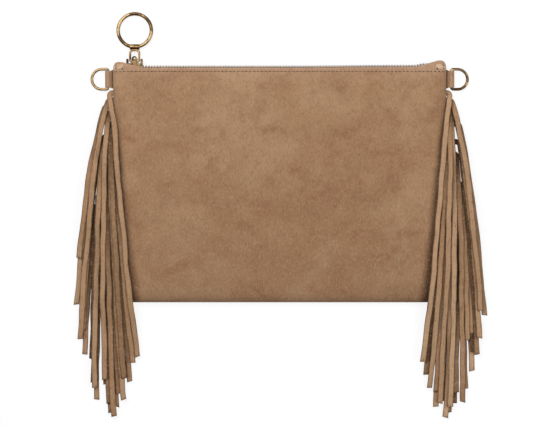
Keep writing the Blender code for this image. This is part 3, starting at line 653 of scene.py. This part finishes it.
# D-rings: bent brass wire, each with its straight bar held in a folded tab. They droop to the table.
D_HEIGHT = 0.0193
D_LENGTH = 0.0149
D_WIRE = 0.0024
D_BAR_OUT = 0.0045
D_BAR_HEIGHT = SEAM + 0.0011
bow = (D_HEIGHT - D_WIRE) / 2
droop = math.asin((D_BAR_HEIGHT - D_WIRE / 2 - 0.00005) / (D_LENGTH - D_WIRE / 2))
for side, name in ((-1, "left"), (1, "right")):
    path = np.concatenate([arc((WIRE_BEND, bow - WIRE_BEND), WIRE_BEND, 180, 90, 8),
                           arc((D_LENGTH - D_HEIGHT / 2, 0), bow, 90, -90, 48),
                           arc((WIRE_BEND, WIRE_BEND - bow), WIRE_BEND, 270, 180, 8)])
    points, faces = wire(path, D_WIRE / 2)
    x = points[:, 0] * math.cos(droop) + points[:, 2] * math.sin(droop)
    z = points[:, 2] * math.cos(droop) - points[:, 0] * math.sin(droop)
    points = np.stack([side * (HALF + D_BAR_OUT + x), D_CENTRE + points[:, 1], D_BAR_HEIGHT + z], axis=1)
    if side > 0:
        faces = faces[:, ::-1]
    d_ring = make_piece("d_ring_" + name + "_wire", points, faces, ring_brass)
    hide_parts("d_ring_" + name)
    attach(d_ring, "d_ring_" + name)


# D-ring tabs: a strip of suede folded round each D-ring's bar, both ends sewn into the side seam.
TAB_INSIDE = 0.0065
TAB_SUEDE = 0.0011
TAB_HEIGHT = SEAM + TAB_SUEDE


def folded_strip(outer, inner, low, high, rows):
    """A strip with a profile of two lines in (out, up), carried along Y; its long edges are eased in.

    At a place t across the strip, from -1 to 1, the profile's points move together by 18% of the
    thickness times t^12, which rounds the two cut edges. It widens by 13% into the seam.
    """
    places = edge_spaced((high - low) / 2, rows)
    share = 0.18 * np.abs(places / places[-1]) ** 12
    middle = (outer + inner) / 2
    lines = []
    for line in (outer, inner):
        moved = line[None] + (middle - line)[None] * share[:, None, None]
        flare = 1 + 0.13 * ease((0.0030 - line[:, 0]) / 0.0028)
        lines.append(np.stack([moved[:, :, 0], places[:, None] * flare[None] + (low + high) / 2,
                               moved[:, :, 1]], axis=-1))
    return np.array(lines).reshape(-1, 3), sheet_faces(*lines[0].shape[:2])


# seam=True paints shade on each tab next to the side seam.
tab_suede = suede("tab_suede", base=(0.400, 0.245, 0.150), cloud=0.6, seed=40.0, seam=True)
bore = D_WIRE / 2 + 0.00015
bend = bore + TAB_SUEDE
for side, name in ((-1, "left"), (1, "right")):
    turns = np.radians(np.linspace(-150, 150, 25))
    ends = np.linspace(-TAB_INSIDE, 0.0022, 8)
    outer = np.concatenate([
        np.stack([ends, np.full(8, -TAB_SUEDE)], axis=1),
        np.stack([D_BAR_OUT + bend * np.cos(turns), bend * np.sin(turns)], axis=1),
        np.stack([ends[::-1], np.full(8, TAB_SUEDE)], axis=1)])
    inner = np.concatenate([
        np.stack([ends, np.full(8, -0.00003)], axis=1),
        np.stack([D_BAR_OUT + bore * np.cos(turns), bore * np.sin(turns)], axis=1),
        np.stack([ends[::-1], np.full(8, 0.00003)], axis=1)])
    points, faces = folded_strip(outer, inner, D_CENTRE - TAB_HALF, D_CENTRE + TAB_HALF, 24)
    points = points * (side, 1, 1) + (side * HALF, 0, TAB_HEIGHT)
    if side > 0:
        faces = faces[:, ::-1]
    tab = make_piece("d_ring_tab_" + name + "_suede", points, faces, tab_suede)
    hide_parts("d_ring_tab_" + name)
    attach(tab, "bag")


# Zip ends: a small piece of suede folded over each end of the zip and sewn down between the hems.
# Its crest stands above the chain and rounds down to the corner of the pouch. Its pale lap lies on
# the front hem and is held by three stitches.
ZIP_END = 0.0094
ZIP_END_SLOPE = 0.0030
LAP_MIDDLE = HALF - 0.0047
LAP_SIZE = (0.0086, 0.0042, 0.0018)
zip_end_suede = suede("zip_end_suede", base=(0.680, 0.470, 0.330), cloud=0.5, grain=0.6, seed=60.0)
for side, name in ((-1, "left"), (1, "right")):
    back_face = 2 * SUEDE + 2 * GAP
    foot = D_CENTRE + TAB_HALF + GAP
    x = np.linspace(HALF - ZIP_END + GAP, HALF - 0.0004, 24)
    crest = TOP + corner_lift(side * x) + 0.0006
    face = panel_rise(x, np.full(24, TOP - FOLD)) - SUEDE - 2 * GAP
    lines = []
    for inset in (0.0, SUEDE):
        low = back_face + inset
        high = face - inset
        top = crest - inset
        shoulder = top - ZIP_END_SLOPE
        round_off = np.clip(np.minimum(0.0020, (face - back_face) / 2 - GAP) - inset, 0.0002, None)
        path = [np.stack([x, np.full(24, foot), np.full(24, low)], axis=1)]
        for turn in np.radians(np.linspace(-90, 0, 9)):
            path.append(np.stack([x, top - round_off + round_off * math.cos(turn),
                                  low + round_off + round_off * math.sin(turn)], axis=1))
        for turn in np.radians(np.linspace(0, 90, 9)):
            path.append(np.stack([x, shoulder - round_off + round_off * math.cos(turn),
                                  high - round_off + round_off * math.sin(turn)], axis=1))
        path.append(np.stack([x, np.full(24, foot), high], axis=1))
        lines.append(path)
    faces = sheet_faces(len(lines[0]), 24)
    points = np.array(lines).reshape(-1, 3) * (side, 1, 1)
    if side > 0:
        faces = faces[:, ::-1]
    lap, lap_faces = rounded_blocks([[side * LAP_MIDDLE, TOP + 0.0006, 0.0]], LAP_SIZE, 5.0, 32, 17)
    lap[:, 1] += (np.abs(lap[:, 0]) - LAP_MIDDLE) * -0.12
    lap[:, 2] += front_rise(lap[:, 0], np.minimum(lap[:, 1], TOP - FOLD)) + SUEDE - 0.0002
    lap_faces = [[len(points) + corner for corner in face] for face in lap_faces]
    zip_end = make_piece("zip_end_" + name + "_suede", np.concatenate([points, lap]),
                         faces.tolist() + lap_faces, zip_end_suede)
    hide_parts("zip_end_" + name)
    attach(zip_end, "bag")
    spots = np.array([(-0.0028, 0.0018), (-0.0028, -0.0004), (-0.0080, -0.0008)])
    spots = spots * (side, 1) + (side * HALF, TOP)
    ways = np.array([(0.75, 0.66, 0.0), (0.90, 0.44, 0.0), (0.0, 1.0, 0.0)]) * (-side, 1, 1)
    high = front_rise(spots[:, 0], np.minimum(spots[:, 1], TOP - FOLD)) + SUEDE + 0.0006
    points, faces = threads(np.column_stack([spots, high]), ways, 0.0021, THREAD, THREAD * 0.6)
    sewn = make_piece("zip_end_" + name + "_stitches", points, faces, thread_material)
    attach(sewn, "bag")


# Fringes: a comb of suede is let into each side seam. Its strips, about 4.4 mm wide, come out of the
# seam, turn down and lie over each other in a narrow fan, with square-cut tips at uneven lengths. The
# tips are places in millimetres: out from the side seam, and down from the top edge.
STRIP_WIDTH = 0.0044
VISIBLE_WIDTH = 0.00465
STRIP_PITCH = 0.0049
LAYER = 0.0011
HEADER_INSIDE = 0.0062
HEADER_OUTSIDE = 0.0006
HEADER_MIDDLE = SEAM + FRINGE_THICKNESS / 2
FAN_OUTER = 0.0743
FAN_INNER_START = 0.0012
FAN_INNER_SLOPE = 0.055
FAN_INNER_CURVE = 0.13
TURN_OUT = 0.0029
TURN_FALL = 0.0024
TURN_RISE = 0.0016
LANE_EASE = 0.030
FRONT_FALL = 0.045
FALL = 0.25
SECTION_SPACING = 0.024
LEFT_TIPS = [
    (-20.2, 243), (28.2, 228), (29.2, 160), (7.3, 262), (31.3, 199), (-9.3, 261), (-8.3, 279),
    (15.9, 269), (-16.4, 248), (26.3, 221), (-14.0, 264), (-0.6, 293), (16.8, 264), (14.0, 279),
    (-4.5, 274), (-3.1, 285), (4.0, 282), (18.2, 245), (5.9, 266), (24.1, 241), (2.1, 290),
]
RIGHT_TIPS = [
    (-19.5, 247), (29.0, 204), (-5.5, 282), (3.7, 285), (28.3, 227), (32.8, 208), (-13.6, 269),
    (-16.5, 219), (26.4, 241), (-17.2, 258), (13.8, 281), (-8.8, 272), (-0.3, 294), (8.5, 273),
    (6.6, 282), (18.0, 229), (11.1, 220), (22.4, 223), (22.8, 239), (22.1, 255), (16.0, 270),
    (-13.6, 255), (-8.8, 285), (-4.0, 280), (2.2, 290),
]


def fan_limits(drop):
    """Innermost and outermost strip at a drop d: -(a + b d + c d^2), and f sqrt(d)."""
    inner = -(FAN_INNER_START + FAN_INNER_SLOPE * drop + FAN_INNER_CURVE * drop * drop)
    return inner + STRIP_WIDTH / 2, FAN_OUTER * np.sqrt(drop) - STRIP_WIDTH / 2


def lane(share, drop):
    """Where a strip hangs across the fan: share 0 is the innermost strip and 1 the outermost."""
    inner, outer = fan_limits(drop)
    return inner + (outer - inner) * share


def hang(strip, y):
    """How far out from the seam a strip's middle lies at y: its lane, eased from its turn."""
    turn = strip["start"] - TURN_FALL
    aim = lane(strip["share"], FRINGE_TOP - turn)
    away = 1 - ease((turn - y) / LANE_EASE)
    return lane(strip["share"], FRINGE_TOP - y) + (max(aim, TURN_OUT) - aim) * away


def rest_height(out, y):
    """Height that a strip's middle needs to clear the panel under it, or the surface beside the body."""
    edge = out - STRIP_WIDTH / 2
    panel_top = panel_rise(HALF + edge, np.maximum(y, BOTTOM + HEM)) + SUEDE
    panel_top = panel_top * (1 - ease((BOTTOM + HEM - y) / FRONT_FALL))
    return np.where(edge < GAP, panel_top, 0) + GAP + FRINGE_THICKNESS / 2


def lay_strips(tips):
    """Strips from the top of the comb down, with sections; each lies a layer above those it crosses."""
    strips = []
    for index, (out, below) in enumerate(tips):
        tip = TOP - below / 1000
        inner, outer = fan_limits(FRINGE_TOP - tip)
        strips.append({"start": FRINGE_TOP - (index + 0.5) * STRIP_PITCH, "tip": tip,
                       "share": (out / 1000 - inner) / (outer - inner)})
    strips[0]["start"] += 0.0012
    turns = [strip["start"] - TURN_FALL for strip in strips[::2]]
    places = np.array(turns + list(np.arange(turns[-1] - SECTION_SPACING, -HEIGHT, -SECTION_SPACING)))
    comb_end = strips[-1]["start"] - STRIP_WIDTH
    for index in reversed(range(len(strips))):
        strip = strips[index]
        turn = strip["start"] - TURN_FALL
        between = places[(places > strip["tip"] + GAP) & (places < turn - GAP)]
        y = np.concatenate([[turn], between, [strip["tip"]]])
        out = hang(strip, y)
        nearest = np.minimum(out, np.minimum(np.append(out[1:], out[-1]), np.append(out[0], out[:-1])))
        height = np.where(y > comb_end, HEADER_MIDDLE + 2 * LAYER, 0)
        height = np.maximum(height, rest_height(nearest, y))
        for other in strips[index + 1:]:
            spots = np.clip(y, other["y"][-1], other["y"][0])
            apart = hang(strip, spots) - hang(other, spots)
            near = np.minimum(np.abs(apart[1:]), np.abs(apart[:-1])) < STRIP_WIDTH + GAP
            near |= apart[1:] * apart[:-1] < 0
            near &= (y[1:] < other["y"][0]) & (y[:-1] > other["y"][-1])
            on_top = np.append(near, False) | np.append(False, near)
            below = np.interp(-y, -other["y"], other["height"])
            height = np.where(on_top, np.maximum(height, below + LAYER), height)
        height[0] = HEADER_MIDDLE + TURN_RISE
        slope = FALL * -y
        height = np.maximum.accumulate(height + slope) - slope
        height[1:] = np.maximum.accumulate((height - slope)[:0:-1])[::-1] + slope[1:]
        strip["y"] = y
        strip["height"] = height
    return strips


def strip_mesh(strip, above, seed):
    """One strip's points: a rounded flat section carried along its path, 12 points a section.

    The middle follows the lane plus a wander of up to 0.5 mm, rolls by up to 14 degrees and cups by
    c (u^2 - 1/3) across its width u. The height is the section heights, smoothed over 9 mm. Its tone
    is random and falls by 0.34 as painted shade for each strip that lies on it, less where that one
    only covers an edge.
    """
    chance = np.random.default_rng(seed)
    turn = strip["start"] - TURN_FALL
    turn_out = hang(strip, turn)
    swing = np.linspace(0, np.pi / 2, 8)
    length = turn - strip["tip"]
    down = np.linspace(0, length, int(length / 0.0024) + 2)[1:]
    y = turn - down
    free = ease(down / 0.030)
    out = hang(strip, y) + 0.0005 * free * wander(down * 55, seed + 1)
    fine = np.linspace(-0.0045, 0.0045, 7)
    height = np.interp(-(y[:, None] - fine), -strip["y"], strip["height"]).mean(axis=1)
    height = height + 0.0003 * ease(down / 0.012) * (1 + wander(down * 70, seed + 2)) * 0.5
    path = np.concatenate([
        [[-0.0010, strip["start"], HEADER_MIDDLE]],
        np.stack([HEADER_OUTSIDE + (turn_out - HEADER_OUTSIDE) * np.sin(swing),
                  strip["start"] - TURN_FALL * (1 - np.cos(swing)),
                  HEADER_MIDDLE + TURN_RISE * (swing / swing[-1]) ** 1.5], axis=1),
        np.stack([out, y, height], axis=1)])
    along = np.gradient(path, axis=0)
    along[:2] = (1, 0, 0)
    along /= np.linalg.norm(along, axis=1)[:, None]
    aside = np.cross([0.0, 0.0, 1.0], along)
    aside /= np.linalg.norm(aside, axis=1)[:, None]
    normal = np.cross(along, aside)
    travel = np.concatenate([np.zeros(9), down])
    loose = ease(travel / 0.020)
    roll = np.radians(14) * loose * wander(travel * 42, seed + 3)
    cup = 0.00030 * loose * wander(travel * 30, seed + 4)
    width = VISIBLE_WIDTH * (1 + 0.07 * loose * wander(travel * 50, seed + 5))
    rolled = aside * np.cos(roll)[:, None] + normal * np.sin(roll)[:, None]
    up = normal * np.cos(roll)[:, None] - aside * np.sin(roll)[:, None]
    u = np.array([-1, -0.94, -0.55, 0, 0.55, 0.94, 1, 0.94, 0.55, 0, -0.55, -0.94])
    t = np.array([0, -0.8, -1, -1, -1, -0.8, 0, 0.8, 1, 1, 1, 0.8])
    lift = t[None] * FRINGE_THICKNESS / 2 + cup[:, None] * (u[None] ** 2 - 1 / 3)
    points = (path[:, None] + rolled[:, None] * (u[None] * width[:, None] / 2)[:, :, None]
              + up[:, None] * lift[:, :, None])
    points[-1, :, 1] += u * chance.uniform(-0.0009, 0.0009)
    # Painted shade: the tone falls by how much other strips lie over this one, and the first three strips, on
    # top of the pile, keep a light tone.
    overlap_shade = np.zeros(len(path))
    for other in above:
        apart = np.abs(path[:, 0] - hang(other, path[:, 1]))
        along_it = (path[:, 1] > other["tip"]) & (path[:, 1] < other["start"])
        overlap_shade += np.clip(1.25 - apart / 0.0052, 0, 1) * along_it
    tone_and_shade = np.clip(max(chance.normal(0.70, 0.18), 0.62 if len(above) < 3 else 0.3) - 0.34 * overlap_shade, 0, 1)
    uv = np.stack([np.repeat((u[None] + 1) / 2, len(path), 0), np.repeat(tone_and_shade[:, None], 12, 1)], axis=-1)
    return points, uv


# The strips' tone and edges carry painted shade where strips overlap and in the gaps between them.
fringe_suede = suede("fringe_suede", base=(0.350, 0.198, 0.104), seed=80.0, cloud=0.5, strips=True)
for side, name, tips in ((-1, "left", LEFT_TIPS), (1, "right", RIGHT_TIPS)):
    strips = lay_strips(tips)
    all_points = []
    all_faces = []
    all_uv = []
    total = 0
    for index, strip in enumerate(strips):
        points, uv = strip_mesh(strip, strips[:index], 100 * index + (7 if side > 0 else 3))
        faces = grid_faces(len(points), 12, total, around=True).tolist()
        faces.append([total + corner for corner in range(12)][::-1])
        faces.append([total + (len(points) - 1) * 12 + corner for corner in range(12)])
        all_points.append(points.reshape(-1, 3))
        all_uv.append(uv.reshape(-1, 2))
        all_faces += faces
        total += len(points) * 12
    end = FRINGE_TOP - len(strips) * STRIP_PITCH
    header, header_faces = rounded_blocks([[-HEADER_INSIDE / 2, (FRINGE_TOP + end) / 2, HEADER_MIDDLE]],
                                          (HEADER_INSIDE, FRINGE_TOP - end, FRINGE_THICKNESS), power=12.0)
    all_points.append(header)
    all_uv.append(np.full((len(header), 2), 0.5))
    all_faces += [[total + corner for corner in face] for face in header_faces]
    points = np.concatenate(all_points)
    points[:, 0] = side * (HALF + points[:, 0])
    if side < 0:
        all_faces = [face[::-1] for face in all_faces]
    fringe = make_piece("fringe_" + name + "_suede", points, all_faces, fringe_suede,
                        uv=np.concatenate(all_uv))
    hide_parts("fringe_" + name)
    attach(fringe, "bag")


# Floor and light: the pouch lies on a white table under one broad lamp and a soft white room. The
# camera sees the table nearly white, and the pouch's shadow stays faintly on it.
floor_material, floor_shader, floor_place = new_material("white_table")
floor_shader.inputs["Base Color"].default_value = (0.95, 0.95, 0.95, 1.0)
floor_shader.inputs["Roughness"].default_value = 1.0
floor_shader.inputs["Specular IOR Level"].default_value = 0.0
floor_tree = floor_place.tree
glow = floor_place.add("ShaderNodeEmission", {}, {"Color": (1.0, 1.0, 1.0, 1.0), "Strength": 1.03})
seen = floor_place.add("ShaderNodeLightPath", {}, {}, "Is Camera Ray")
glossy = floor_place.add("ShaderNodeLightPath", {}, {}, "Is Glossy Ray")
passed = floor_place.add("ShaderNodeLightPath", {}, {}, "Is Transmission Ray")
share = seen.math("MINIMUM", seen + glossy * 0.6 + passed, 1.0) * 0.82
table = floor_tree.nodes.new("ShaderNodeMixShader")
floor_tree.links.new(share.socket, table.inputs[0])
floor_tree.links.new(floor_shader.outputs[0], table.inputs[1])
floor_tree.links.new(glow.socket, table.inputs[2])
floor_tree.links.new(table.outputs[0], floor_tree.nodes["Material Output"].inputs["Surface"])
floor = make_piece("table", [(-6, -6, -0.0002), (6, -6, -0.0002), (6, 6, -0.0002), (-6, 6, -0.0002)],
                   [(0, 1, 2, 3)], floor_material, smooth=False)
floor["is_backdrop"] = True

world = bpy.data.worlds.new("room")
bpy.context.scene.world = world
world.use_nodes = True
sky = world.node_tree.nodes["Background"]
coordinates = world.node_tree.nodes.new("ShaderNodeTexCoord")
way = Shade(world.node_tree, coordinates.outputs["Generated"])
height = way.add("ShaderNodeSeparateXYZ", {}, {"Vector": way}, "Z")
seen = way.add("ShaderNodeLightPath", {}, {}, "Is Camera Ray")
across = way.add("ShaderNodeSeparateXYZ", {}, {"Vector": way}, "Y")
level = height.between(0.05, 0.60) * (height.between(0.985, 0.80) * 0.85 + 0.25) * 1.20 + 0.10
level = level * (1.20 - across * across * 1.15)
level = level * (1 - seen) + seen
world.node_tree.links.new(level.socket, sky.inputs["Strength"])

for name, place, size, power in (("broad_lamp", (-0.50, 0.60, 1.15), 1.30, 18.0),
                                 ("fill_lamp", (0.85, -0.10, 1.00), 1.00, 8.0)):
    lamp = bpy.data.lights.new(name, "AREA")
    lamp.shape = "DISK"
    lamp.size = size
    lamp.energy = power
    holder = bpy.data.objects.new(name, lamp)
    holder.location = place
    bpy.context.scene.collection.objects.link(holder)
    holder.rotation_euler = (math.atan2(math.hypot(place[0], place[1]), place[2]), 0,
                             math.atan2(place[1], place[0]) + math.pi / 2)

low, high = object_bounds()
